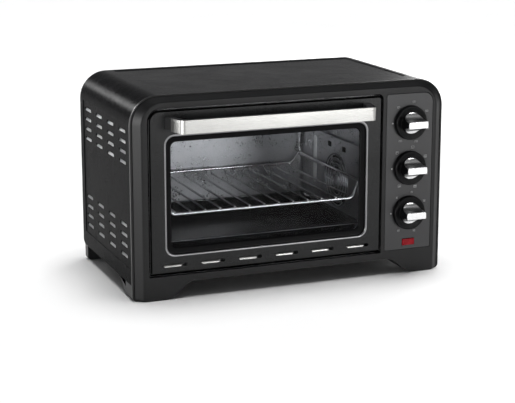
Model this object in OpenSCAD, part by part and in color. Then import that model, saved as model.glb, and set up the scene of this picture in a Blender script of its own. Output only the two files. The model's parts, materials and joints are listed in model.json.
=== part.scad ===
/* Countertop toaster oven: black sheet-metal cabinet, glazed drop-down door,
   three rotary controls, convection fan, sliding wire rack.
   Origin: centre of the footprint on the standing surface. +X to the user's right,
   +Y to the back, +Z up. Millimetres. Depths are measured back from the front
   plane of the bezel, and the module from_front() places them. */

/* [Cabinet] */
// Width of the cabinet
body_w = 470; // [450:1:500]
// Height from the standing surface to the top
body_h = 283; // [280:1:300]
// Depth from the bezel's front plane to the rear edge of the cabinet
body_d = 259; // [257:1:300]
// Radius of the cabinet's two upper edges
shoulder_r = 40; // [30:1:44]
// Thickness of the cabinet sheet
sheet = 1.2; // [0.8:0.1:1.5]
// Height of the feet
foot_h = 22; // [20:0.5:23]
// Depth of the plastic front bezel
bezel_d = 12; // [12:0.5:14]

/* [Door] */
// Sideways position of the door's centre line
door_x = -38; // [-40:1:-36]
// Width of the door
door_w = 347.2; // [340:0.2:348]
// Lower edge of the door
door_z = 35; // [35:0.5:36]
// Height of the door
door_h = 229; // [224:1:230]
// Thickness of the door's outer frame
door_t = 10; // [10:0.5:10.5]
// Width of the clear window
window_w = 284; // [260:1:290]
// Height of the clear window
window_h = 149; // [130:1:152]
// How far the handle stands in front of the bezel
handle_reach = 40; // [36:1:42]
// Height of the handle's steel band
handle_h = 18.6; // [16:0.2:20]

/* [Controls] */
// Sideways position of the three control axes
knob_x = 179.6; // [178:0.2:181]
// Height of the middle control axis
knob_mid_z = 156.5; // [150:0.5:160]
// Distance from one control axis to the next
knob_pitch = 66; // [60:1:68]
// Radius of a knob's round skirt
knob_r = 25; // [22:0.5:27]
// How far a knob's grip stands in front of the panel
knob_reach = 27; // [24:0.5:28]

/* [Cavity] */
// Inner width of the oven cavity
cavity_w = 310; // [305:1:312]
// Height of the cavity's floor
cavity_z = 40; // [40:0.5:42]
// Inner height of the cavity
cavity_h = 210; // [200:1:212]
// Depth where the cavity's back wall begins
cavity_back = 245; // [240:1:246]
// Height of the cooking surface of the wire rack
rack_z = 120; // [116:1:124]

/* [Hidden] */
$fn = 64;

black = [0.05, 0.05, 0.055];
steel = [0.75, 0.75, 0.73];
grey = [0.45, 0.46, 0.47];

half_w = body_w / 2;
gland_proud = 10;
front_y = handle_reach - (handle_reach + body_d + gland_proud) / 2;
gap = 0.3;

// Bezel: the outer rim, the sloping border and the flat front
rim_step = 3;
rim_y = 8;
border_x = 13.5;
border_top = 8.5;
front_corner_r = 31;
foot_corner_r = 6;
foot_flat_x = 46;
foot_end_x = 88;
arch_h = foot_h + 1.5;
foot_flat_y = 33;
foot_end_y = 72;
curve_steps = 12;

// Door opening, wider than the door by the same gap all round
door_gap = 1;
opening_drop = 1.5;
opening_w = door_w + 2 * door_gap;
opening_z0 = door_z - opening_drop;
opening_h = door_h + opening_drop + 1.5;
opening_radii = [7, 17, 1.5, 1.5];
door_radii = [6, 16, 2, 2];

// Control panel plate, let into the bezel
panel_x = 179.2;
panel_w = 73.2;
panel_z = 36;
panel_h = 228.5;
panel_t = 2.5;
panel_radii = [14, 3, 3, 3];
panel_ledge = 4;
lamp_x = 180.6;
lamp_z = 46.6;
lamp_w = 20;
lamp_h = 10;
knob_zs = [knob_mid_z + knob_pitch, knob_mid_z, knob_mid_z - knob_pitch];
shaft_r = 3;
run_fit = 0.05;
bush_r = 5;
thermostat_case = [34, 26];
switch_case = [38, 24];
timer_case = [42, 30];
case_end_wall = 4;
shaft_in_case = 14;

// Recessed fields pressed into the top and the sides of the shell
press_d = 1;
top_field = [-185, 194];
top_field_y = [44, 250];
side_field_y = [20, 243];
side_field_z = [44, 243.5];
rear_chamfer = [8, 5];

// Side vents: an upper and a lower group of stadium slots
vent_len = 30;
vent_h = 4.2;
vent_pitch_y = 57.5;
vent_pitch_z = 14.5;
vent_first_y = 46.5;
upper_vent_z = 188.5;
lower_vent_z = 57.8;
vent_count = 4;

// Air slots in the base and in the back panel
panel_vent_xs = [-150 : 50 : 150];
panel_vent_w = 5;
base_vent_len = 40;
base_vent_ys = [90, 160];
back_vent_len = 34;
back_vent_z = 150;
back_vent_pitch = 14;
back_vent_rows = 6;

// Chassis and cavity
frame_t = 1.2;
frame_y = bezel_d;
wall = 1.2;
cavity_y = frame_y + frame_t;
cavity_x0 = door_x - cavity_w / 2;
cavity_x1 = door_x + cavity_w / 2;
cavity_z1 = cavity_z + cavity_h;
mouth_lip = 4;
rib_d = 5.5;
rib_t = 3;
back_y = 254;

// Wire rack: side rails ride on the wall ribs, the cooking surface hangs lower
rail_r = 2;
wire_r = 1.5;
rail_rise = 19;
rail_half = 150;
rail_knee = 4;
surface_half = 138;
hanger_inset = 2;
first_wire_inset = 6;
rack_y0 = 18;
rack_y1 = 238;
rack_wires = 13;
wire_level = rack_z - wire_r;
rail_z = rack_z + rail_rise;
rib_top_rack = rail_z - rail_r - 0.2;
rear_stop_rise = 6;

// Baking tray on the lowest ribs
tray_rim_z = 78;
tray_depth = 21;
tray_half = 153;
tray_y = [18, 237];
tray_rim = 8;
tray_t = 1;
rib_top_tray = tray_rim_z - tray_t - 0.2;
rib_top_upper = rib_top_rack + 50;

// Heating elements
element_r = 3.25;
element_ys = [70, 190];
upper_element_z = cavity_z1 - 9;
lower_element_z = cavity_z + 10;
element_over = 12;
element_pin = 6;
insulator_r = 6;
insulator_len = 6;

// Convection fan, beside the cavity's right wall
fan_y = 114;
fan_z = 120;
fan_r = 42;
housing_r = 50;
housing_d = 22;
fan_shaft_r = 2.5;
fan_x = cavity_x1 + wall;
fan_shaft_start = 3;
motor_r = 24;
motor_neck = 4;
motor_x0 = fan_x + housing_d + motor_neck;
motor_len = 28;
motor_flange_x = 6;
motor_flange_t = 14;
motor_flange_over = 4;
grille_first_r = 10;
grille_pitch = 8;
grille_last_r = 34;
grille_slot = 3.5;
grille_spoke = 6;
wall_hole_x = 25;
wall_hole_z = 171;
wall_hole_w = 14;
wall_hole_h = 8;

// Hinge, window and handle
hinge_y = door_t / 2;
hinge_z = door_z + door_t / 2;
pin_r = 2.5;
pin_in_door = 14;
hinge_bush_len = 5.4;
hinge_bush_r = 4;
window_z = 145.6;
window_r = 9;
recess_border = 9.7;
recess_drop = 1.2;
recess_d = 6;
glass_t = 3.4;
glass_over = 4;
gasket_t = 0.6;
inner_t = 1.2;
inner_z0 = hinge_z + 3;
inner_top_gap = 8;
inner_side_gap = 10;
door_slots = 6;
door_slot_pitch = 55;
door_slot_w = 34;
door_slot_h = 4.6;
door_slot_z = 48.2;
handle_z = 246;
handle_x = door_x + 2.2;
handle_front_half = 142.5;
handle_foot_half = 152.4;
band_t = 1.2;
band_back_y = -15;
core_t = 10;
handle_screw_half = 144;

gland_x = 205;
gland_z = 50;
cord_bore_r = 3.6;

// Small hardware
screw_r = 1.6;
screw_head_r = 3.6;
screw_head_t = 1.8;
inner_head_r = 2.6;
inner_head_t = 1.2;
handle_screw_r = 1.8;
handle_head_r = 3.2;
handle_screw_len = 11;
handle_head_t = 1.9;
screw_in_door = 4;
screw_in_frame = 4;
base_screw_len = 6;
pin_in_bush = 5;
gland_neck_r = 6;
base_screw_x = 200;
base_screw_ys = [100, 220];
back_screw_x = 215;
back_screw_zs = [60, 150, 235];
back_screw_top_xs = [-120, 0, 120];
back_screw_top_z = 270;
back_screw_points = [for (s = [-1, 1], z = back_screw_zs) [s * back_screw_x, z],
    for (x = back_screw_top_xs) [x, back_screw_top_z]];
inner_screw_x = 151.5;
inner_screw_zs = [62, 146, 232];
inner_screw_points = [for (s = [-1, 1], z = inner_screw_zs) [door_x + s * inner_screw_x, z]];
rear_foot_w = 45;
rear_foot_y = [236, 251];
crumb_lip = 3;
bevel_d = 4.5;
band_r = 8;
weld = 0.3;

// Knob grip and lens
boss_r = 15.2;
boss_y = 6;
grip_half = 4.75;
trim_t = 1.2;
shaft_tip = 19;
lens_proud = 1.2;

module from_front() {
    translate([0, front_y, 0]) children();
}

// A flat outline in X and Z, given thickness t backwards from depth y
module plate_y(y, t) {
    translate([0, y + t, 0]) rotate([90, 0, 0]) linear_extrude(t) children();
}

// A flat outline in Y and Z, given thickness t to the right from x
module plate_x(x, t) {
    translate([x, 0, 0]) rotate([90, 0, 90]) linear_extrude(t) children();
}

// Round rod along Y from depth y
module rod_y(r, y, len) {
    translate([0, y, 0]) rotate([-90, 0, 0]) cylinder(r = r, h = len);
}

// Round rod along X from x
module rod_x(r, x, len) {
    translate([x, 0, 0]) rotate([0, 90, 0]) cylinder(r = r, h = len);
}

module corner_waste(r) {
    difference() {
        square(r + 1);
        circle(r = r);
    }
}

// Rectangle about the origin with its own radius at each corner:
// upper right, upper left, lower left, lower right
module round_rect(w, h, radii) {
    difference() {
        square([w, h], center = true);
        for (k = [0 : 3]) {
            sx = (k == 0 || k == 3) ? 1 : -1;
            sz = (k < 2) ? 1 : -1;
            r = radii[k];
            translate([sx * (w / 2 - r), sz * (h / 2 - r)]) rotate(90 * k) corner_waste(r);
        }
    }
}

// Slot outline with round ends, lying along the first axis
module stadium(len, h) {
    square([len - h, h], center = true);
    for (s = [-1, 1]) translate([s * (len - h) / 2, 0]) circle(r = h / 2, $fn = 24);
}

// Smooth rise of height h between a and b
function s_curve(a, b, h) =
    [for (i = [0 : curve_steps]) [a + (b - a) * i / curve_steps, h * (1 - cos(180 * i / curve_steps)) / 2]];

function flipped(points) = [for (i = [len(points) - 1 : -1 : 0]) [-points[i][0], points[i][1]]];

module bezel_outline(inset, top_inset, r) {
    w = body_w - 2 * inset;
    h = body_h - top_inset;
    translate([0, h / 2]) round_rect(w, h, [r, r, foot_corner_r, foot_corner_r]);
}

// The space under the cabinet between the front feet
module foot_arch() {
    left = s_curve(-half_w + foot_flat_x, -half_w + foot_end_x, arch_h);
    polygon(concat([[left[0][0], -1]], left, flipped(left), [[-left[0][0], -1]]));
}

module front_foot_backs() {
    profile = concat([[bezel_d, 0], [foot_flat_y, 0]],
        s_curve(foot_flat_y, foot_end_y, foot_h), [[bezel_d, foot_h]]);
    intersection() {
        plate_x(-half_w, body_w) polygon(profile);
        plate_y(bezel_d, foot_end_y) difference() {
            bezel_outline(0, 0, shoulder_r);
            foot_arch();
        }
    }
}

module door_opening() {
    translate([door_x, opening_z0 + opening_h / 2]) round_rect(opening_w, opening_h, opening_radii);
}

module panel_outline(grow, r_grow) {
    radii = [for (r = panel_radii) max(0.5, r + r_grow)];
    translate([panel_x, panel_z + panel_h / 2]) round_rect(panel_w + 2 * grow, panel_h + 2 * grow, radii);
}

module hinge_axis() {
    translate([0, hinge_y, hinge_z]) children();
}

module front_bezel() {
    color(black) from_front() difference() {
        union() {
            hull() {
                plate_y(rim_y - 0.01, 0.01) bezel_outline(rim_step, 2, shoulder_r - rim_step, $fn = 48);
                plate_y(0, 0.01) bezel_outline(border_x, border_top, front_corner_r, $fn = 48);
            }
            plate_y(rim_y, bezel_d - rim_y) bezel_outline(0, 0, shoulder_r);
            front_foot_backs();
        }
        plate_y(-1, bezel_d + 2) foot_arch();
        plate_y(-1, bezel_d + 2) door_opening();
        plate_y(-1, panel_t + 1) panel_outline(gap, gap);
        plate_y(-1, bezel_d + 2) panel_outline(-panel_ledge, -panel_ledge);
        hinge_axis() rod_x(hinge_bush_r, door_x - opening_w / 2 - hinge_bush_len, hinge_bush_len + 1);
        hinge_axis() rod_x(hinge_bush_r, door_x + opening_w / 2 - 1, hinge_bush_len + 1);
    }
}

module control_panel() {
    color(black) from_front() difference() {
        plate_y(0, panel_t) panel_outline(0, 0);
        for (z = knob_zs) translate([knob_x, 0, z]) rod_y(shaft_r + 0.8, -1, panel_t + 2);
        translate([lamp_x, 0, lamp_z]) cube([lamp_w, 20, lamp_h], center = true);
    }
}

module shell_outline(inset, low) {
    h = body_h - inset - low;
    r = shoulder_r - inset;
    translate([0, low + h / 2]) round_rect(body_w - 2 * inset, h, [r, r, 0.5, 0.5]);
}

// The fields pressed in below the outer surface. With grow they reach that much further in.
module pressed_fields(grow) {
    depth = 10;
    size_y = side_field_y[1] - side_field_y[0] + 2 * grow;
    size_z = side_field_z[1] - side_field_z[0] + 2 * grow;
    translate([top_field[0] - grow, top_field_y[0] - grow, body_h - press_d - grow])
        cube([top_field[1] - top_field[0] + 2 * grow, top_field_y[1] - top_field_y[0] + 2 * grow, depth]);
    for (s = [-1, 1])
        translate([s * (half_w - press_d - grow + depth / 2), side_field_y[0] - grow + size_y / 2,
            side_field_z[0] - grow + size_z / 2]) cube([depth, size_y, size_z], center = true);
}

module side_vents() {
    for (base = [upper_vent_z, lower_vent_z], row = [0 : vent_count - 1], col = [0 : vent_count - 1])
        translate([vent_first_y + col * vent_pitch_y, base + row * vent_pitch_z]) stadium(vent_len, vent_h);
}

module rear_corner_waste() {
    polygon([[body_d - rear_chamfer[0], foot_h - 1], [body_d + 1, foot_h - 1], [body_d + 1, foot_h + rear_chamfer[1]],
        [body_d, foot_h + rear_chamfer[1]], [body_d - rear_chamfer[0], foot_h]]);
}

module outer_shell() {
    color(black) from_front() difference() {
        plate_y(bezel_d, body_d - bezel_d) shell_outline(0, foot_h);
        difference() {
            plate_y(bezel_d - 1, body_d - bezel_d + 2) shell_outline(sheet, foot_h - 1);
            pressed_fields(sheet);
        }
        pressed_fields(0);
        plate_x(-half_w - 1, body_w + 2) side_vents();
        plate_x(-half_w - 1, body_w + 2) rear_corner_waste();
    }
}

module base_panel() {
    w = body_w - 2 * (sheet + gap);
    color(black) from_front() difference() {
        translate([-w / 2, cavity_y, foot_h]) cube([w, back_y - cavity_y, sheet]);
        for (x = panel_vent_xs, y = base_vent_ys)
            translate([x, y, foot_h - 1]) linear_extrude(sheet + 2) rotate(90) stadium(base_vent_len, panel_vent_w);
        for (s = [-1, 1], y = base_screw_ys)
            translate([s * base_screw_x, y, foot_h - 1]) cylinder(r = screw_r, h = sheet + 2);
    }
}

module back_panel() {
    low = foot_h + sheet;
    color(black) from_front() difference() {
        plate_y(back_y, sheet) shell_outline(sheet + gap, low);
        plate_y(back_y - 1, sheet + 2) for (x = panel_vent_xs, row = [0 : back_vent_rows - 1])
            translate([x, back_vent_z + back_vent_pitch * row]) stadium(back_vent_len, panel_vent_w);
        plate_y(back_y - 1, sheet + 2) for (p = back_screw_points) translate(p) circle(r = screw_r);
        translate([gland_x, 0, gland_z]) rod_y(gland_neck_r, back_y - 1, sheet + 2);
    }
}

// Moulded foot under the rear edge, rounded where it meets the standing surface
module rear_foot(side) {
    color(black) from_front() intersection() {
        plate_x(side > 0 ? half_w - rear_foot_w : -half_w, rear_foot_w)
            translate([(rear_foot_y[0] + rear_foot_y[1]) / 2, foot_h / 2])
            round_rect(rear_foot_y[1] - rear_foot_y[0], foot_h, [0.5, 0.5, 2, foot_corner_r]);
        plate_y(rear_foot_y[0], rear_foot_y[1] - rear_foot_y[0])
            translate([side * (half_w - rear_foot_w / 2), foot_h / 2])
            round_rect(rear_foot_w, foot_h, [0.5, 0.5, foot_corner_r, foot_corner_r]);
    }
}

module rear_foot_left() {
    rear_foot(-1);
}

module rear_foot_right() {
    rear_foot(1);
}

module cavity_mouth() {
    translate([door_x, cavity_z + mouth_lip + (cavity_h - mouth_lip) / 2])
        round_rect(cavity_w, cavity_h - mouth_lip, [8, 8, 8, 8]);
}

module front_frame() {
    color(steel) from_front() difference() {
        plate_y(frame_y, frame_t) shell_outline(sheet + gap, foot_h + sheet);
        plate_y(frame_y - 1, frame_t + 2) cavity_mouth();
        for (z = knob_zs) translate([knob_x, 0, z]) rod_y(bush_r, frame_y - 1, frame_t + 2);
        translate([lamp_x, 0, lamp_z]) cube([lamp_w - 4, 4 * bezel_d, lamp_h - 2], center = true);
    }
}

// Embossed shelf ribs on a side wall; side says which way is into the cavity
module wall_ribs(x, side) {
    for (top = [rib_top_tray, rib_top_rack, rib_top_upper])
        translate([side > 0 ? x : x - rib_d, cavity_y + 4, top - rib_t])
            cube([rib_d, cavity_back - cavity_y - 8, rib_t]);
}

module element_holes() {
    for (y = element_ys, z = [upper_element_z, lower_element_z]) translate([y, z]) circle(r = element_r + 0.3);
}

module side_wall(x) {
    plate_x(x, wall) difference() {
        translate([cavity_y, cavity_z - wall]) square([cavity_back - cavity_y, cavity_h + 2 * wall]);
        element_holes();
    }
}

module cavity_left_wall() {
    color(steel) from_front() {
        side_wall(cavity_x0 - wall);
        wall_ribs(cavity_x0, 1);
    }
}

// Rings of arc-shaped air slots in front of the fan, with solid spokes between them
module fan_grille() {
    translate([fan_y, fan_z]) difference() {
        for (r = [grille_first_r : grille_pitch : grille_last_r]) difference() {
            circle(r = r + grille_slot);
            circle(r = r);
        }
        for (a = [0, 60, 120]) rotate(a) square([2 * fan_r, grille_spoke], center = true);
    }
}

module cavity_right_wall() {
    color(steel) from_front() {
        difference() {
            side_wall(cavity_x1);
            plate_x(cavity_x1 - 1, wall + 2) fan_grille();
            plate_x(cavity_x1 - 1, wall + 2) for (s = [-1, 1]) translate([fan_y + s * wall_hole_x, wall_hole_z])
                round_rect(wall_hole_w, wall_hole_h, [2, 2, 2, 2]);
        }
        difference() {
            wall_ribs(cavity_x1, -1);
            translate([cavity_x1 - rib_d - 1, fan_y - fan_r, fan_z - fan_r])
                cube([rib_d + 2, 2 * fan_r, 2 * fan_r]);
        }
    }
}

module cavity_top_wall() {
    color(steel) from_front() translate([cavity_x0, cavity_y, cavity_z1])
        cube([cavity_w, cavity_back - cavity_y, wall]);
}

module cavity_floor() {
    color(steel) from_front() translate([cavity_x0, cavity_y, cavity_z - wall])
        cube([cavity_w, cavity_back - cavity_y, wall]);
}

module cavity_back_wall() {
    color(steel) from_front() translate([cavity_x0 - wall, cavity_back, cavity_z - wall])
        cube([cavity_w + 2 * wall, wall, cavity_h + 2 * wall]);
}

// Sheathed rod element that crosses the cavity and ends in a thin terminal on each side
module element(y, z) {
    color(grey) from_front() translate([0, y, z]) {
        rod_x(element_r, cavity_x0 - element_over, cavity_w + 2 * element_over);
        rod_x(element_r / 2, cavity_x0 - element_over - element_pin, cavity_w + 2 * (element_over + element_pin));
    }
}

module upper_front_element() {
    element(element_ys[0], upper_element_z);
}

module upper_rear_element() {
    element(element_ys[1], upper_element_z);
}

module lower_front_element() {
    element(element_ys[0], lower_element_z);
}

module lower_rear_element() {
    element(element_ys[1], lower_element_z);
}

module element_insulators() {
    color("white") from_front() for (y = element_ys, z = [upper_element_z, lower_element_z]) translate([0, y, z])
        for (x = [cavity_x0 - wall - insulator_len, cavity_x1 + wall]) difference() {
            rod_x(insulator_r, x, insulator_len);
            rod_x(element_r, x - 1, insulator_len + 2);
        }
}

// Thin tray on the cavity floor that catches crumbs
module crumb_tray() {
    w = cavity_w - 2 * rib_d;
    d = cavity_back - cavity_y - 8;
    color(steel) from_front() translate([door_x - w / 2, cavity_y + 4, cavity_z]) difference() {
        cube([w, d, crumb_lip]);
        translate([wall, wall, 0.8]) cube([w - 2 * wall, d - 2 * wall, crumb_lip]);
    }
}

module baking_tray() {
    pan_half = tray_half - tray_rim;
    y0 = tray_y[0] + tray_rim;
    y1 = tray_y[1] - tray_rim;
    color(black) from_front() translate([door_x, 0, tray_rim_z]) difference() {
        union() {
            translate([-tray_half, tray_y[0], -tray_t]) cube([2 * tray_half, tray_y[1] - tray_y[0], tray_t]);
            translate([-pan_half, y0, -tray_depth]) cube([2 * pan_half, y1 - y0, tray_depth]);
        }
        translate([-pan_half + tray_t, y0 + tray_t, -tray_depth + tray_t])
            cube([2 * (pan_half - tray_t), y1 - y0 - 2 * tray_t, tray_depth]);
    }
}

module fan_axis() {
    translate([0, fan_y, fan_z]) children();
}

module fan_housing() {
    color(steel) from_front() fan_axis() difference() {
        rod_x(housing_r, fan_x, housing_d);
        rod_x(housing_r - 1, fan_x - 1, housing_d);
        rod_x(fan_shaft_r + 1, fan_x, housing_d + 1);
    }
}

module fan_motor() {
    flange_half = motor_r + motor_flange_over;
    motor_end_wall = 3;
    color(grey) from_front() fan_axis() difference() {
        union() {
            rod_x(motor_r, motor_x0, motor_len);
            rod_x(motor_r / 2, fan_x + housing_d, motor_neck);
            translate([motor_x0 + motor_flange_x, -flange_half, -flange_half])
                cube([motor_flange_t, 2 * flange_half, 2 * flange_half]);
        }
        rod_x(fan_shaft_r + run_fit, fan_x, housing_d + motor_neck + motor_len - motor_end_wall);
    }
}

module fan_shaft() {
    color(steel) from_front() fan_axis() rod_x(fan_shaft_r, fan_x + fan_shaft_start, housing_d + motor_len - 3);
}

module fan_blade() {
    disc_x = fan_x + 6;
    disc_r = fan_r - 6;
    disc_t = 1;
    hub_r = 8;
    hub_len = 8;
    blade_d = 9;
    blade_t = 1;
    blade_foot = 12;
    blade_tilt = 12;
    color(steel) from_front() fan_axis() difference() {
        union() {
            rod_x(hub_r, disc_x, hub_len);
            rod_x(disc_r, disc_x, disc_t);
            for (a = [0 : 45 : 315]) rotate([a, 0, 0]) translate([disc_x, 0, blade_foot]) rotate([0, 0, blade_tilt])
                translate([0, -blade_t / 2, 0]) cube([blade_d, blade_t, disc_r - blade_foot + 5]);
        }
        rod_x(fan_shaft_r, fan_x, housing_d);
    }
}

// A rotary control behind the panel: its case, its threaded bush and the hole its shaft turns in
module rotary_control(z, size) {
    case_w = size[0];
    case_d = size[1];
    color(grey) from_front() translate([knob_x, 0, z]) difference() {
        union() {
            translate([-case_w / 2, cavity_y, -case_w / 2]) cube([case_w, case_d, case_w]);
            rod_y(bush_r, panel_t + gap, cavity_y - panel_t - gap);
        }
        rod_y(shaft_r + run_fit, 0, cavity_y + case_d - case_end_wall);
    }
}

module thermostat() {
    rotary_control(knob_zs[0], thermostat_case);
}

module function_switch() {
    rotary_control(knob_zs[1], switch_case);
}

module timer() {
    rotary_control(knob_zs[2], timer_case);
}

module control_shaft(z) {
    color(steel) from_front() translate([knob_x, 0, z]) rod_y(shaft_r, -shaft_tip, shaft_tip + cavity_y + shaft_in_case);
}

module thermostat_shaft() {
    control_shaft(knob_zs[0]);
}

module function_shaft() {
    control_shaft(knob_zs[1]);
}

module timer_shaft() {
    control_shaft(knob_zs[2]);
}

// Half the section of a knob's grip, flaring from its narrow front edge out to the skirt
function grip_side(inset) = [for (i = [0 : curve_steps])
    let (a = 90 * i / curve_steps, depth = knob_reach - boss_y - inset)
    [-knob_reach + inset + depth * sin(a), grip_half - inset + (boss_r - grip_half) * (1 - cos(a))]];

module grip_section(inset) {
    upper = grip_side(inset);
    lower = [for (i = [curve_steps : -1 : 0]) [upper[i][0], -upper[i][1]]];
    polygon(concat(upper, lower));
}

module knob_at(z) {
    from_front() translate([knob_x, 0, z]) children();
}

module grip(inset) {
    intersection() {
        plate_x(-boss_r, 2 * boss_r) grip_section(inset);
        rod_y(boss_r, -knob_reach - 1, knob_reach);
    }
}

// Black knob: a dished round skirt and the core of the grip, bored for the shaft
module knob(z) {
    lift = 0.8;
    rim = 1.2;
    dish_y = boss_y - 1.4;
    color(black) knob_at(z) difference() {
        union() {
            rotate([90, 0, 0]) rotate_extrude() polygon([[0, lift], [knob_r - 0.5, lift], [knob_r, lift + 0.5],
                [knob_r - rim / 2, boss_y + 0.3], [knob_r - rim, boss_y + 0.8], [knob_r - 2 * rim, boss_y + 0.8],
                [boss_r + 2, dish_y], [boss_r + 0.6, dish_y], [boss_r, boss_y], [0, boss_y]]);
            grip(trim_t);
        }
        rod_y(shaft_r, -shaft_tip, shaft_tip);
    }
}

// Bright cap over the front and the two scooped flanks of the grip
module knob_trim(z) {
    color(steel) knob_at(z) difference() {
        grip(0);
        plate_x(-boss_r - 1, 2 * boss_r + 2) grip_section(trim_t);
    }
}

module thermostat_knob() {
    knob(knob_zs[0]);
}

module thermostat_knob_trim() {
    knob_trim(knob_zs[0]);
}

module function_knob() {
    knob(knob_zs[1]);
}

module function_knob_trim() {
    knob_trim(knob_zs[1]);
}

module timer_knob() {
    knob(knob_zs[2]);
}

module timer_knob_trim() {
    knob_trim(knob_zs[2]);
}

module indicator_lens() {
    color("red") from_front() translate([lamp_x, (panel_t - lens_proud) / 2, lamp_z])
        cube([lamp_w - 2 * gap, panel_t + lens_proud, lamp_h - 2 * gap], center = true);
}

module indicator_lamp() {
    depth = 24;
    slack = 3;
    color("white") from_front() translate([lamp_x, panel_t + depth / 2, lamp_z])
        cube([lamp_w - 2 * slack, depth, lamp_h - slack], center = true);
}

module cable_gland() {
    color(black) from_front() translate([gland_x, 0, gland_z]) difference() {
        union() {
            rod_y(gland_neck_r, back_y - 6, 8);
            rod_y(gland_neck_r + 4, back_y + sheet, 3);
            rod_y(gland_neck_r + 1, back_y + sheet, body_d + gland_proud - back_y - sheet);
        }
        rod_y(cord_bore_r, back_y - 7, body_d + gland_proud - back_y + 8);
    }
}

module terminal_block() {
    terminal_x = 174;
    terminal_w = 28;
    terminal_d = 14;
    terminal_h = 16;
    terminal_pitch = 9;
    terminal_hole_r = 2;
    color("white") from_front() difference() {
        translate([terminal_x - terminal_w / 2, back_y - terminal_d, gland_z - terminal_h / 2])
            cube([terminal_w, terminal_d, terminal_h]);
        for (k = [-1 : 1]) translate([terminal_x + k * terminal_pitch, back_y - terminal_d / 2, gland_z])
            cylinder(r = terminal_hole_r, h = terminal_h);
    }
}

module hinge_bush(x) {
    color(steel) from_front() hinge_axis() difference() {
        rod_x(hinge_bush_r, x, hinge_bush_len);
        rod_x(pin_r + run_fit, x - 1, hinge_bush_len + 2);
    }
}

module hinge_bush_left() {
    hinge_bush(door_x - opening_w / 2 - hinge_bush_len);
}

module hinge_bush_right() {
    hinge_bush(door_x + opening_w / 2);
}

module hinge_pin_left() {
    color(steel) from_front() hinge_axis()
        rod_x(pin_r, door_x - opening_w / 2 - pin_in_bush, pin_in_bush + door_gap + pin_in_door);
}

module hinge_pin_right() {
    color(steel) from_front() hinge_axis()
        rod_x(pin_r, door_x + door_w / 2 - pin_in_door, pin_in_bush + door_gap + pin_in_door);
}

module back_screws() {
    color(steel) from_front() for (p = back_screw_points) translate([p[0], 0, p[1]]) {
        rod_y(screw_r, back_y - screw_in_frame, screw_in_frame + sheet);
        rod_y(screw_head_r, back_y + sheet, screw_head_t);
    }
}

module base_screws() {
    color(steel) from_front() for (s = [-1, 1], y = base_screw_ys)
        translate([s * base_screw_x, y, foot_h - screw_head_t]) {
            cylinder(r = screw_head_r, h = screw_head_t);
            cylinder(r = screw_r, h = screw_head_t + base_screw_len);
        }
}

module window_outline(grow) {
    r = window_r + grow / 2;
    translate([door_x, window_z]) round_rect(window_w + 2 * grow, window_h + 2 * grow, [r, r, r, r]);
}

// Mouth of the recess round the window, a little deeper at its lower edge
module recess_outline() {
    r = window_r + recess_border / 2;
    translate([door_x, window_z - recess_drop / 2])
        round_rect(window_w + 2 * recess_border, window_h + 2 * recess_border + recess_drop, [r, r, r, r]);
}

// Everything outside the half-round lower edge, which turns about the hinge axis
module lower_edge_waste() {
    difference() {
        translate([-1, door_z - 1]) square([door_t + 2, door_t / 2 + 1]);
        translate([hinge_y, hinge_z]) circle(r = door_t / 2);
    }
}

module door_frame() {
    half = door_w / 2;
    color(black) from_front() difference() {
        plate_y(0, door_t) translate([door_x, door_z + door_h / 2]) round_rect(door_w, door_h, door_radii);
        hull() {
            plate_y(-0.01, 0.01) recess_outline($fn = 32);
            plate_y(bevel_d, 0.01) window_outline(0, $fn = 32);
        }
        plate_y(-1, door_t) window_outline(0);
        plate_y(recess_d, door_t) window_outline(glass_over + gap);
        plate_y(-1, door_t + 2) for (k = [0 : door_slots - 1])
            translate([door_x + (k - (door_slots - 1) / 2) * door_slot_pitch, door_slot_z])
            stadium(door_slot_w, door_slot_h);
        plate_x(-half_w, body_w) lower_edge_waste();
        hinge_axis() rod_x(pin_r, door_x - half - 1, pin_in_door + 1);
        hinge_axis() rod_x(pin_r, door_x + half - pin_in_door, pin_in_door + 1);
        for (s = [-1, 1]) translate([handle_x + s * handle_screw_half, 0, handle_z])
            rod_y(handle_screw_r, -1, door_t + 2);
        for (p = inner_screw_points) translate([p[0], 0, p[1]])
            rod_y(screw_r, door_t - screw_in_door, screw_in_door + 1);
    }
}

module door_glass() {
    color("white", 0.3) from_front() plate_y(recess_d, glass_t) window_outline(glass_over);
}

module glass_gasket() {
    color(grey) from_front() plate_y(recess_d + glass_t, gasket_t) difference() {
        window_outline(glass_over);
        window_outline(1);
    }
}

module door_inner_frame() {
    top = door_z + door_h - inner_top_gap;
    color(steel) from_front() difference() {
        plate_y(door_t, inner_t) translate([door_x, (inner_z0 + top) / 2])
            round_rect(door_w - 2 * inner_side_gap, top - inner_z0, [6, 6, 6, 6]);
        plate_y(door_t - 1, inner_t + 2) window_outline(0);
        for (s = [-1, 1]) translate([handle_x + s * handle_screw_half, 0, handle_z])
            rod_y(handle_head_r + 0.5, door_t - 1, inner_t + 2);
        for (p = inner_screw_points) translate([p[0], 0, p[1]]) rod_y(screw_r, door_t - 1, inner_t + 2);
    }
}

module inner_frame_screws() {
    color(steel) from_front() for (p = inner_screw_points) translate([p[0], 0, p[1]]) {
        rod_y(screw_r, door_t - screw_in_door, screw_in_door + inner_t);
        rod_y(inner_head_r, door_t + inner_t, inner_head_t);
    }
}

// Sideways reach of the handle's sloping end at depth y, less a wall thickness
function handle_side(y, inset) =
    let (slope = (handle_foot_half - handle_front_half) / handle_reach)
    handle_foot_half + slope * y - inset * sqrt(1 + slope * slope);

function unit(v) = v / norm(v);

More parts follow.
